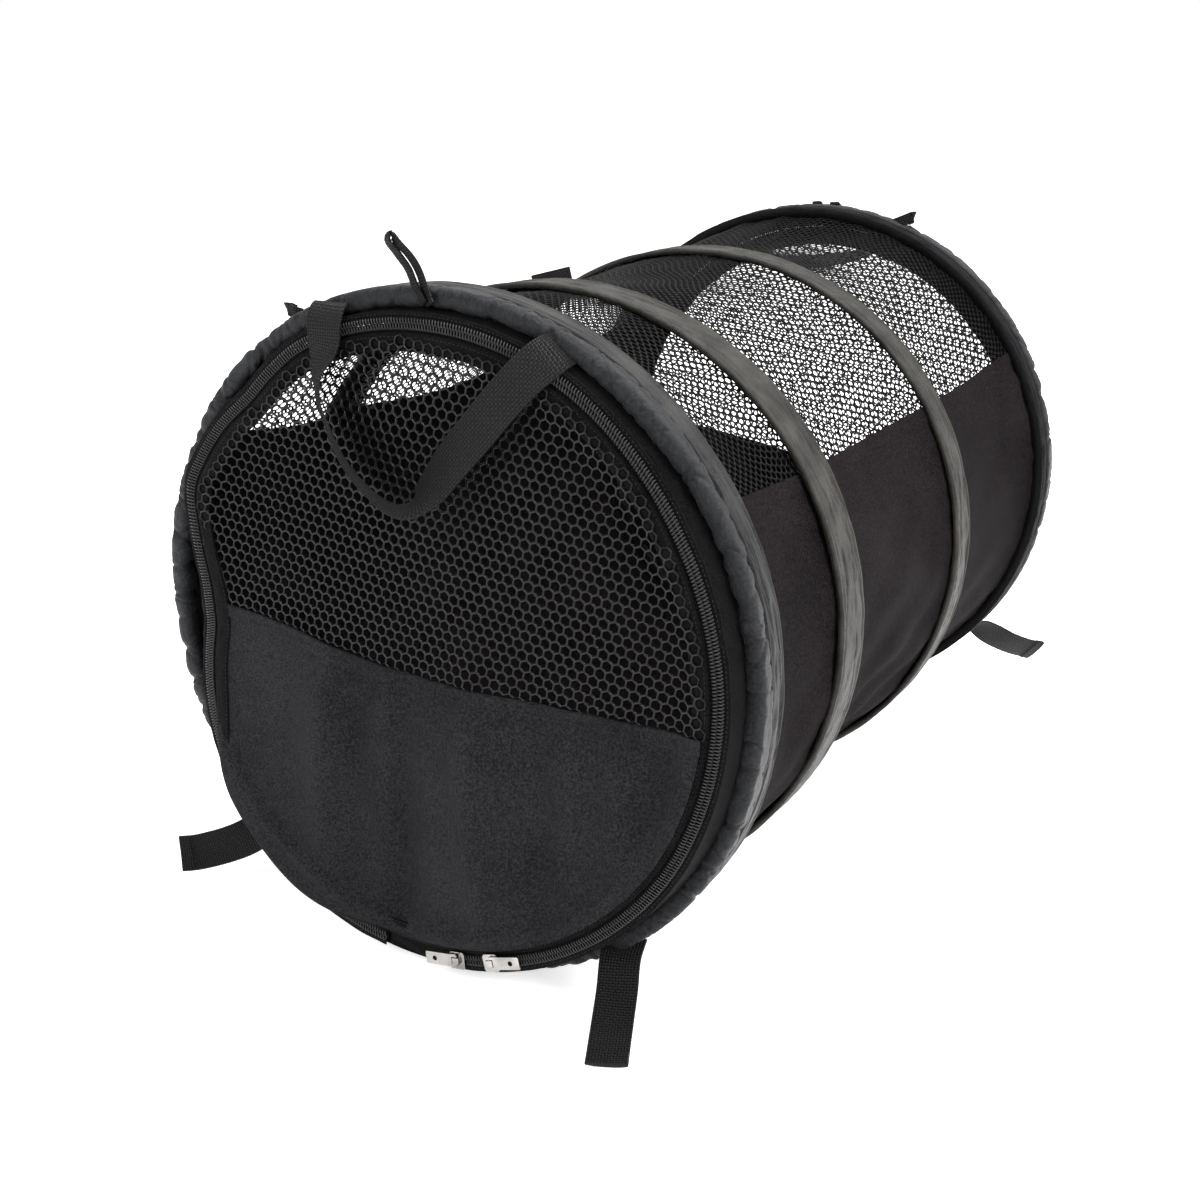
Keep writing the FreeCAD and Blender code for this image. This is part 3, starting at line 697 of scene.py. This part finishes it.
def band(name, radius, bottom_inset, depth, middle_y, width, seed, material, body, replaces, height):
    """A tape folded round a hoop, with welted edges, a soft ridge over the wire and small puckers."""
    phi = np.linspace(0, 2 * math.pi, 1100, endpoint=False)[:, None]
    s = np.linspace(-1, 1, 31)[None]
    u = phi / (2 * math.pi)
    length = 2 * math.pi * radius
    edge = np.exp(-((np.abs(s) - 0.90) * width / 2 / (0.8 * MM)) ** 2)
    lane = np.exp(-((np.abs(s) - 0.76) * width / 2 / (0.9 * MM)) ** 2)
    pucker = waves(seed, 14, (6, 60), (-1.2, 1.2))(u, s)
    folds = creases(seed + 1, 48 * MM, length, 4 * MM)(u, 6 * s)
    sway = waves(seed + 2, 5, (2, 9), (0, 0))(u, 0)
    lift = height * (0.35 * edge - 0.30 * lane)
    lift = lift + 0.26 * MM * pucker * (1 - s**6) + 1.5 * MM * folds * (1 - s**4)
    round_off = depth * 0.4 * np.clip((np.abs(s) - 0.96) / 0.04, 0, 1) ** 2
    outer = np.maximum(bottom_inset - lift + round_off + 0.5 * MM, 0.05 * MM)
    outer = np.where(np.abs(s) < 0.2, np.minimum(outer, 1.1 * MM + bottom_inset * 0.2), outer)
    y_out = middle_y + (s * width / 2) + 0.5 * MM * sway
    back = s[:, ::-1]
    inner = bottom_inset + depth + 0 * phi + 0 * back
    y_in = middle_y + back * width / 2 * 0.97 + 0.5 * MM * sway
    inset = np.concatenate([np.broadcast_to(outer, (len(phi), s.size)), inner], 1)
    y = np.concatenate([y_out, y_in], 1)
    p = around(phi, radius, inset, y)
    points, faces = ring_mesh(p)
    run = np.concatenate([s, back], 1) * width / 2
    uv = np.stack(np.broadcast_arrays(phi * radius, run), -1).reshape(-1, 2)
    piece = make_piece(name, points, faces, material, body, replaces, uv)
    rows = []
    for column in (4, s.size - 5):
        line = np.vstack([p[:, column], p[:1, column]])
        rows.append((line, unit(line - np.array([0, 0, RING_Z])) * np.array([1, 0, 1])))
    stitches(name + "_stitching", rows, body, 3.2 * MM)
    return piece


def end_panel(end):
    """Cloth ring from inside the rim out to the zip, pulled into small tension folds."""
    name = ENDS[end]
    phi = np.linspace(0, 2 * math.pi, 900, endpoint=False)[None]
    t = np.linspace(0, 1, 16)[:, None]
    rim = around(phi, RIM_R, 9.8 * MM, end * 275 * MM)
    zipped = at_zip(end, phi, 5.5 * MM, -1.2 * MM)
    u = phi / (2 * math.pi)
    folds = waves(61 + end, 10, (14, 70), (-0.6, 0.6))(u, t) * np.sin(math.pi * t) * 0.9 * MM
    ease = t**0.8
    p = rim * (1 - ease[..., None]) + zipped * ease[..., None]
    belly = np.sin(math.pi * t) * 2.6 * MM + folds
    p = p + belly[..., None] * np.array([0, end, 0])
    points, faces = sheet_mesh(p, 1.0 * MM, True)
    run = t * np.linalg.norm(zipped - rim, axis=-1)
    uv = both_sides(np.stack(np.broadcast_arrays(phi * ZIP_R, run), -1))
    piece = make_piece(f"{name}_end_cloth", points, faces, "oxford", f"{name}_frame",
                       (f"{name}_end_panel",), uv)


ZIP_END = math.radians(172)


def open_angles(count):
    """Angles round the zip from one side of the door's hinge to the other."""
    return np.linspace(-ZIP_END, ZIP_END, count)


def zip_tapes(end):
    """The two woven tapes of the zip, each with a row of stitches."""
    name = ENDS[end]
    phi = open_angles(700)[None]
    t = np.linspace(0, 1, 7)[:, None]
    for side, key, body in ((1, "outer", f"{name}_frame"), (-1, "inner", f"{name}_door")):
        ripple = waves(71 + end + side, 8, (20, 60), (-0.5, 0.5))(phi / 6.28, t) * 0.22 * MM
        away = side * (0.12 + 6.98 * t) * MM + 0 * phi
        p = at_zip(end, phi, away, 0.2 * MM + ripple * t)
        points, faces = sheet_mesh(p, 0.7 * MM)
        uv = both_sides(np.stack(np.broadcast_arrays(phi * ZIP_R, away), -1))
        make_piece(f"{name}_zip_tape_{key}", points, faces, "tape", body,
                   (f"{name}_zip_{key}_tape",), uv)
        line = at_zip(end, phi[0], side * 5.2 * MM, 0.75 * MM)
        outward = np.broadcast_to(np.array([0, end, 0.0]), line.shape)
        stitches(f"{name}_zip_{key}_stitching", [(line, outward)], body, 2.8 * MM)


def zip_coils(end):
    """Both rows of the zip's coil, as a wire wound in flattened turns."""
    name = ENDS[end]
    pitch = 2.0 * MM
    turns = int(2 * ZIP_END * ZIP_R / pitch)
    steps = turns * 12
    phi = open_angles(steps)
    around_wire = np.linspace(0, 2 * math.pi, 5, endpoint=False)
    for side, key, body in ((1, "outer", f"{name}_frame"), (-1, "inner", f"{name}_door")):
        wind = np.linspace(0, turns * 2 * math.pi, steps) + (math.pi if side > 0 else 0)
        away = side * 1.65 * MM + 1.55 * MM * np.cos(wind)
        out = 1.40 * MM + 0.85 * MM * np.sin(wind)
        centre = at_zip(end, phi, away, out)
        along = unit(np.gradient(centre, axis=0))
        up = np.array([0, 1.0, 0])
        a = unit(np.cross(along, up))
        b = np.cross(along, a)
        ring = (np.cos(around_wire)[None, :, None] * a[:, None]
                + np.sin(around_wire)[None, :, None] * b[:, None])
        points, faces = tube_mesh(centre[:, None] + 0.43 * MM * ring)
        uv = np.zeros((len(points), 2))
        make_piece(f"{name}_zip_teeth_{key}", points, faces, "coil", body,
                   (f"{name}_zip_{key}_coil",), uv)


def door_border(end):
    """Bias tape between the zip and the door's net and cloth."""
    name = ENDS[end]
    phi = np.linspace(0, 2 * math.pi, 700, endpoint=False)[None]
    t = np.linspace(0, 1, 11)[:, None]
    ripple = waves(81 + end, 9, (16, 60), (-0.5, 0.5))(phi / 6.28, t) * 0.35 * MM
    over = overhang(end, phi)
    away = (-5.2 - 10.5 * t + 12.5 * over) * MM
    out = (1.2 + 3.0 * over) * MM + 0.9 * MM * np.sin(math.pi * t) ** 0.5 + ripple * np.sin(math.pi * t)
    p = at_zip(end, phi, away, out)
    points, faces = sheet_mesh(p, 1.0 * MM, True)
    uv = both_sides(np.stack(np.broadcast_arrays(phi * ZIP_R, away), -1))
    piece = make_piece(f"{name}_door_binding", points, faces, "oxford", f"{name}_door",
                       (f"{name}_door_border",), uv)
    rows = []
    for k in (2, 9):
        line = np.vstack([p[k], p[k, :1]]) + np.array([0, end * 0.6 * MM, 0])
        rows.append((line, np.broadcast_to(np.array([0, end, 0.0]), line.shape)))
    stitches(f"{name}_door_binding_stitching", rows, f"{name}_door", 2.8 * MM)


def door_window(end):
    """The door's net, from the seam up to the border."""
    name = ENDS[end]

    def inside(u, v):
        phi = np.arctan2(u, v)
        return (np.hypot(u, v) < zip_radius(end, phi) - 9.5 * MM) & (v > seam_z(u) - 1 * MM)

    def place(u, v):
        out = door_out(end, u, v) - 0.3 * MM
        near_edge = np.clip((np.hypot(u, v) - ZIP_R + 26 * MM) / (12 * MM), 0, 1)
        out = out + 3.4 * MM * near_edge**2 * (3 - 2 * near_edge)
        e = 1 * MM
        du = (door_out(end, u + e, v) - door_out(end, u - e, v)) / (2 * e)
        dv = (door_out(end, u, v + e) - door_out(end, u, v - e)) / (2 * e)
        flat = on_door(end, u, v, out)
        zero = on_door(end, 0.0, 0.0, 0.0)
        x_axis, z_axis = on_door(end, 1.0, 0.0, 0.0) - zero, on_door(end, 0.0, 1.0, 0.0) - zero
        o_axis = on_door(end, 0.0, 0.0, 1.0) - zero
        normal = o_axis[None] - du[:, None] * x_axis - dv[:, None] * z_axis
        return flat, unit(normal)

    reach = ZIP_R
    points, faces, uv, area = net_mesh(6.7 * MM, 1.75 * MM, 1.3 * MM, math.radians(-9),
                                       (-reach, -30 * MM, reach, reach), inside, place)
    piece = make_piece(f"{name}_door_net", points, faces, "net", f"{name}_door",
                       (f"{name}_door_window",), uv)


def door_cloth(end):
    """The door's lower half: soft cloth with broad folds and a hem along the seam."""
    name = ENDS[end]
    angles = np.linspace(math.radians(96), math.radians(264), 220)
    over = overhang(end, angles)
    r = zip_radius(end, angles) + (12.5 * over - 8) * MM
    x = r * np.sin(angles)
    foot = r * np.cos(angles)
    t = np.linspace(0, 1, 90)[:, None]
    top = seam_z(x)
    z = top[None] * (1 - t) + np.minimum(foot, top)[None] * t
    xx = np.broadcast_to(x, z.shape)
    hem = np.clip(1 - (top[None] - z) / (9 * MM), 0, 1)
    low = 1 - np.clip((z - foot) / (60 * MM), 0, 1)
    near_edge = np.clip((np.hypot(xx, z) - ZIP_R + 24 * MM) / (12 * MM), 0, 1)
    lap = 3.9 * MM * near_edge**2 * (3 - 2 * near_edge)
    out = door_out(end, xx, z) + lap + 0.5 * MM * np.minimum(1, hem * 6) * (hem > 0) + 3.0 * MM * over * low
    p = on_door(end, xx, z, out)
    points, faces = sheet_mesh(p, 0.8 * MM + 0.8 * MM * np.minimum(1, hem * 6))
    uv = both_sides(np.stack([xx, z], -1))
    piece = make_piece(f"{name}_door_cloth", points, faces, "panel", f"{name}_door",
                       (f"{name}_door_panel",), uv)
    line_x = np.linspace(-165 * MM, 172 * MM, 200)
    line_z = seam_z(line_x) - 7 * MM
    line = on_door(end, line_x, line_z, door_out(end, line_x, line_z) + 1.6 * MM)
    outward = np.broadcast_to(np.array([0, end, 0.0]), line.shape)
    stitches(f"{name}_door_seam_stitching", [(line, outward)], f"{name}_door", 3.0 * MM)


def hinge_tape(end):
    """Short strip of webbing tape that hinges the door at its foot."""
    name = ENDS[end]
    phi = np.linspace(math.radians(172.6), math.radians(187.4), 40)[None]
    t = np.linspace(0, 1, 12)[:, None]
    away = (-9.0 + 14 * t) * MM + 0 * phi
    out = -1.7 * MM + 0.35 * MM * np.sin(9 * t + 30 * phi)
    points, faces = sheet_mesh(at_zip(end, phi, away, out), 1.0 * MM)
    uv = both_sides(np.stack(np.broadcast_arrays(phi * ZIP_R, away), -1))
    make_piece(f"{name}_hinge_tape", points, faces, "tape", f"{name}_frame",
               (f"{name}_door_hinge_tape",), uv)


# ---------------------------------------------------------------- bays between the hoops

BAYS = {
    1: dict(y=(-269, -149), body="front_frame", joint="collapse", fold=27 / 120, waist=3.5),
    2: dict(y=(-149, 70), body="hoop_2", joint="collapse_hoop_3", fold=37 / 219, waist=6.0),
    3: dict(y=(70, 269), body="hoop_3", joint="collapse_rear", fold=23 / 199, waist=5.0),
}


def bay_surface(number):
    """place(phi, y) of a bay's cloth: pulled in between its hoops, wrinkled, and resting on the floor."""
    y0, y1 = (v * MM for v in BAYS[number]["y"])
    waist = BAYS[number]["waist"] * MM
    broad = waves(100 + number, 6, (3, 9), (-0.8, 0.8))
    slanted = waves(110 + number, 8, (9, 26), (0.5, 2.0))
    pucker = waves(120 + number, 10, (30, 80), (-0.4, 0.4))

    def place(phi, y):
        t = np.clip((y - y0) / (y1 - y0), 0, 1)
        u = phi / (2 * math.pi)
        middle = 4 * t * (1 - t)
        near_hoop = np.exp(-np.minimum(t, 1 - t) * (y1 - y0) / (22 * MM))
        down = np.clip((np.abs(phi) - math.radians(60)) / math.radians(50), 0, 1)
        foot = np.clip((np.abs(phi) - 2.5) / 0.4, 0, 1)
        inset = 5.2 * MM + 0.7 * MM * foot + waist * middle
        inset = inset + middle * (2.0 * MM * broad(u, t) + 2.0 * MM * down * slanted(u, t))
        inset = inset + 0.5 * MM * near_hoop * pucker(u, t) * (t > 0.01) * (t < 0.99)
        inset = inset - waist * 0.9 * middle * foot
        inset = np.maximum(inset, 0.8 * MM)
        return around(phi, HOOP_R, inset, y)
    return place


def bay(number):
    """A bay's net top and cloth body."""
    facts = BAYS[number]
    y0, y1 = (v * MM for v in facts["y"])
    place = bay_surface(number)
    radius = 206 * MM
    rows, columns = int((y1 - y0) / (2.5 * MM)), 420
    phi = np.linspace(math.radians(59), math.radians(301), columns)
    signed = np.where(phi > math.pi, phi - 2 * math.pi, phi)[None]
    y = np.linspace(y0, y1, rows)[:, None]
    p = place(np.broadcast_to(signed, (rows, columns)), np.broadcast_to(y, (rows, columns)))
    hem = np.clip(7 - np.minimum(np.arange(columns), np.arange(columns)[::-1]), 0, 1)[None]
    points, faces = sheet_mesh(p, 0.9 * MM + 0.9 * MM * hem)
    uv = both_sides(np.stack(np.broadcast_arrays(phi[None] * radius, y), -1))
    cloth_piece = make_piece(f"bay_{number}_lower_cloth", points, faces, "body", facts["body"],
                             (f"bay_{number}_cloth",), uv)

    def surface(u, v):
        e = 0.5 * MM
        free = np.clip(np.minimum(v - y0, y1 - v) / (20 * MM), 0, 1)
        u = u + 2.2 * MM * free * drift(u / (2 * math.pi * radius), v / (2 * math.pi * radius))
        here = place(u / radius, v)
        n = np.cross(place((u + e) / radius, v) - here, place(u / radius, v + e) - here)
        return here, unit(n)

    half = math.radians(61) * radius
    drift = waves(130 + number, 8, (3, 16), (-14, 14))
    mesh = net_mesh(5.4 * MM, 1.8 * MM, 0.9 * MM, math.radians(8), (-half, y0, half, y1),
                    lambda u, v: (np.abs(u) < half) & (v > y0 + 1 * MM) & (v < y1 - 1 * MM), surface)
    points, faces, uv, area = mesh
    net_piece = make_piece(f"bay_{number}_net_top", points, faces, "bay_net", facts["body"],
                           (f"bay_{number}_net",), uv)
    for piece in (cloth_piece, net_piece):
        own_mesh(piece)


# ---------------------------------------------------------------- webbing

X = (1, 0, 0)


def station(x, y, z, *side):
    return (x * MM, y * MM, z * MM, *side)


FRONT_HANDLE = [
    station(-66, -289, 405, *X), station(-66, -299, 406, *X), station(-66.5, -303, 398, *X),
    station(-66.5, -304, 387, 1, -0.1, 0), station(-68, -306, 375, 0.92, -0.4, 0.1),
    station(-67, -311, 364, 0.7, -0.7, 0.2), station(-63, -316, 352, 0.62, -0.76, 0.2),
    station(-55, -319, 340, 0.6, -0.78, 0.2), station(-46, -321, 326, 0.52, -0.83, 0.28),
    station(-35, -322, 314, 0.42, -0.9, 0.32), station(-22, -323, 305, 0.35, -0.93, 0.3),
    station(-8, -323, 299.5, 0.35, -0.93, 0.1), station(4, -322, 301, 0.5, -0.82, -0.2),
    station(14, -320, 310, 0.7, -0.5, -0.5), station(30, -317, 330, 0.8, -0.2, -0.6),
    station(45, -314, 348, 0.8, -0.1, -0.6), station(62, -309, 369, 0.8, -0.05, -0.6),
    station(75, -305, 383, 0.8, 0, -0.6), station(84, -300, 391, 0.8, 0.1, -0.55),
    station(88, -290, 395, 0.8, 0.1, -0.5),
]
REAR_HANDLE = [
    station(-122, 289, 385, 0.85, 0, 0.6), station(-120, 299, 383, 0.85, 0, 0.6),
    station(-104, 307, 374, 0.5, 0.6, 0.4), station(-80, 315, 368.5, 0.1, 1, 0.2),
    station(-35, 320, 367, 0, 1, 0.35), station(10, 321, 373, 0, 1, 0.35),
    station(42, 319, 382, 0.1, 1, 0.2), station(70, 311, 391, 0.5, 0.6, -0.2),
    station(86, 300, 397, 0.85, 0, -0.5), station(89, 289, 400, 0.85, 0, -0.5),
]


def handles():
    for end, stations in ((FRONT, FRONT_HANDLE), (REAR, REAR_HANDLE)):
        name = ENDS[end]
        ribbon(f"{name}_carry_handle", stations, 25 * MM, 1.9 * MM, f"{name}_handle_loop",
               (f"{name}_handle",), (10 * MM, 10 * MM), 0.6 * MM)
        for side, ends in (("left", stations[:3]), ("right", stations[-3:])):
            under = [(x, y - end * 1.7 * MM, z, *across) for x, y, z, *across in ends]
            replaced = (f"{name}_handle_anchors",) if side == "left" else ()
            ribbon(f"{name}_handle_patch_{side}", under, 22 * MM, 1.1 * MM, f"{name}_frame",
                   replaced)


def top_loops():
    """A narrow folded loop of tape at the top of each rim: the front one stands, the rear one hangs."""
    edge = (0.845, -0.46, 0.28)
    standing = [
        station(0, -296.5, 412, *edge), station(-6, -296, 421, *edge), station(-10, -297, 431, *edge),
        station(-13.5, -302, 440, *edge), station(-16, -306, 447.5, *edge),
        station(-13.5, -307, 450.5, *edge), station(-9, -306, 446, *edge),
        station(-4.5, -302, 439, *edge), station(-2, -298, 431, *edge),
        station(1, -296.5, 421, *edge), station(5, -297, 412, *edge),
    ]
    hanging = [
        station(-5, 290, 423, *edge), station(-5, 298, 419, *edge), station(-1, 302, 407, *edge),
        station(3, 306, 393, *edge), station(5, 307, 389, *edge), station(7, 306, 393, *edge),
        station(9, 302, 407, *edge), station(11, 298, 419, *edge), station(11, 290, 423, *edge),
    ]
    for name, stations in (("front", standing), ("rear", hanging)):
        ribbon(f"{name}_rim_loop", stations, 8 * MM, 1.1 * MM, f"{name}_frame",
               (f"{name}_top_loop",), (3 * MM, 3 * MM), 0.2 * MM)


# how the floor straps have twisted: the direction across each one's free end
TILTS = {"front_left_strap": (0.58, 0.03, -0.81), "rear_right_strap": (-0.65, 0.18, -0.75)}


def straps():
    """Four floor straps with hemmed ends."""
    layout = {
        "front_left_strap": [(-138, -281, 54), (-150, -285, 47), (-172, -294, 33), (-190, -300, 25),
                             (-206, -306, 20), (-213, -309, 19)],
        "front_right_strap": [(125, -283, 38), (128, -297, 32), (134, -312, 20), (140, -328, 10),
                              (147, -345, 5), (153, -359, 2.4)],
        "rear_right_strap": [(152, 285, 72), (158, 297, 66), (169, 311, 54), (180, 324, 44),
                             (191, 338, 36), (201, 350, 31)],
        "rear_left_strap": [(-138, 285, 60), (-150, 297, 54), (-164, 311, 44), (-176, 324, 38),
                            (-190, 338, 33), (-201, 350, 31)],
    }
    for name, points in layout.items():
        run = np.array(points[-1], float) - np.array(points[0], float)
        level = unit(np.array([-run[1], run[0], 0.0]))
        tilted = np.array(TILTS.get(name, level))
        stations = [station(*p, *(level + (tilted - level) * min(1, k / 2))) for k, p in enumerate(points)]
        ribbon(f"{name}_webbing", stations, 25 * MM, 1.9 * MM, f"{name}_tail",
               (name,), (0, 9 * MM), 0.8 * MM)


# a side tab's run: how far along it, how far raised and how far turned over
TAB_STEPS = [(0.0, 0.0, 0.0), (0.3, 0.3, -0.5), (0.7, 0.8, 0.5), (1.0, 1.0, 1.5), (0.93, 0.5, 3.2),
             (0.6, 0.0, 3.6)]


def side_tabs():
    """Sewn ends of tape that stand out of the hoops, each with a turned corner."""
    for name, body, start, end_point, wide in (
        ("front_side_tab", "front_frame", (-97, -286, 397), (-109, -286, 399), 8),
        ("hoop_3_side_tab", "hoop_3", (-119, 68, 379), (-152, 66, 369), 14),
        ("rear_side_tab", "rear_frame", (66, 288, 408), (82, 289, 414), 9),
    ):
        a, b = np.array(start, float), np.array(end_point, float)
        out = unit(np.array([a[0], 0, a[2] - RING_Z / MM]))
        stations = [station(*(a + (b - a) * t + out * h + np.array([0, turned, 0])), *out)
                    for t, h, turned in TAB_STEPS]
        ribbon(f"{name}_fold", stations, wide * MM, 1.1 * MM, body, (name,))


# ---------------------------------------------------------------- wires and hardware

def spring_wire(number, middle):
    """An inner hoop's steel wire, sunk at the top with its binding."""
    phi = np.linspace(0, 2 * math.pi, 360, endpoint=False)[:, None]
    turn = np.linspace(0, 2 * math.pi, 10, endpoint=False)[None]
    inset = (3.4 + 1.3 * np.cos(turn)) * MM
    y = middle + 1.3 * MM * np.sin(turn)
    points, faces = ring_mesh(around(phi, HOOP_R, inset + 0 * phi, y + 0 * phi))
    uv = np.stack(np.broadcast_arrays(phi * HOOP_R, turn * MM), -1).reshape(-1, 2)
    make_piece(f"hoop_{number}_spring", points, faces, "steel", f"hoop_{number}",
               (f"hoop_{number}_wire",), uv)


def dress_cad():
    """Steel on the rims' wires, nickel on the sliders and their pulls."""
    for node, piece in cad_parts.items():
        if node.endswith("_wire"):
            material = MATERIALS["steel"]
        elif node.endswith(("_slider", "_pull")):
            material = MATERIALS["nickel"]
        else:
            continue
        if not piece.data.materials:
            piece.data.materials.append(material)
        for k in range(len(piece.data.materials)):
            piece.data.materials[k] = material


make_camera()
make_studio()
make_materials()
for end in (FRONT, REAR):
    name = ENDS[end]
    rim_roll(end)
    tape = band(f"{name}_rim_binding", RIM_R, 1.0 * MM, 8.0 * MM, end * 273 * MM, 17 * MM, 150 + end,
                RIM_BINDING[end], f"{name}_frame", (f"{name}_rim_tape",), 1.0 * MM)
    end_panel(end)
    zip_tapes(end)
    zip_coils(end)
    hinge_tape(end)
    door_cloth(end)
    door_window(end)
    door_border(end)
for number, (middle, width) in HOOPS.items():
    tape = band(f"hoop_{number}_band", HOOP_R, 0.6 * MM, 4.2 * MM, middle, width, 160 + number,
                "grey", f"hoop_{number}", (f"hoop_{number}_binding",), 1.5 * MM)
    spring_wire(number, middle)
for number in BAYS:
    bay(number)
handles()
top_loops()
straps()
side_tabs()
dress_cad()
